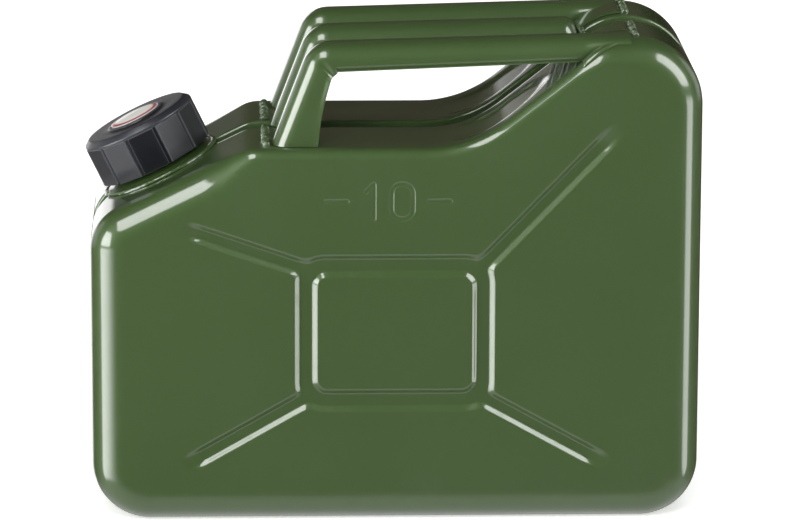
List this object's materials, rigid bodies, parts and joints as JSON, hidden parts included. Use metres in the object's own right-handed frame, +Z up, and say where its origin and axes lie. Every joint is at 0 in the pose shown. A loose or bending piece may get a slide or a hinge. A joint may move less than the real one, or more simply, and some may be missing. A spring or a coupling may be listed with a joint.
{
  "type": "jerry can",
  "caption": "Pressed-steel jerry can with parallel handle bars, a groove round the seam, a sloping shoulder, a threaded neck and a black screw cap.",
  "frame": {"origin": "on the surface that the can stands on, under the middle of its length with the cap and the middle of its depth", "axes": "+X along the can away from the neck, +Y from the near face to the far face, +Z up"},
  "size_m": [0.3484, 0.15, 0.2808],
  "materials": {
    "enamel": "glossy olive-green baked enamel",
    "painted_weld": "uneven weld metal under the enamel",
    "bare_steel": "drawn and pressed steel, satin",
    "cap_plastic": "moulded black plastic with a fine texture",
    "gasket_rubber": "matt",
    "label_print": "plain printed film"
  },
  "bodies": {
    "can": {"near_half_shell": "enamel", "far_half_shell": "enamel", "seam_weld": "painted_weld", "near_handle_bar": "enamel", "centre_handle_bar": "enamel", "far_handle_bar": "enamel", "near_front_weld": "painted_weld", "far_front_weld": "painted_weld", "near_rear_weld": "painted_weld", "far_rear_weld": "painted_weld", "centre_rear_weld": "painted_weld", "neck_collar": "enamel", "neck_weld": "enamel", "breather_tube": "bare_steel", "breather_clip": "bare_steel"},
    "cap_seal": {"cap_seal_disc": "bare_steel", "cap_gasket": "gasket_rubber"},
    "cap": {"cap_shell": "cap_plastic", "cap_label": "label_print"}
  },
  "joints": [
    {"name": "cap_rise", "type": "slide", "parent": "can", "child": "cap_seal", "axis": [-0.4384, 0, 0.8988], "range_m": [0, 0.01]},
    {"name": "cap_turn", "type": "hinge", "parent": "cap_seal", "child": "cap", "pos_m": [-0.13125, 0, 0.19164], "axis": [-0.4384, 0, 0.8988], "range_deg": [0, 720]}
  ],
  "couplings": [
    {"joint": "cap_turn", "follows": "cap_rise", "rad_per_m": 1256.6}
  ]
}
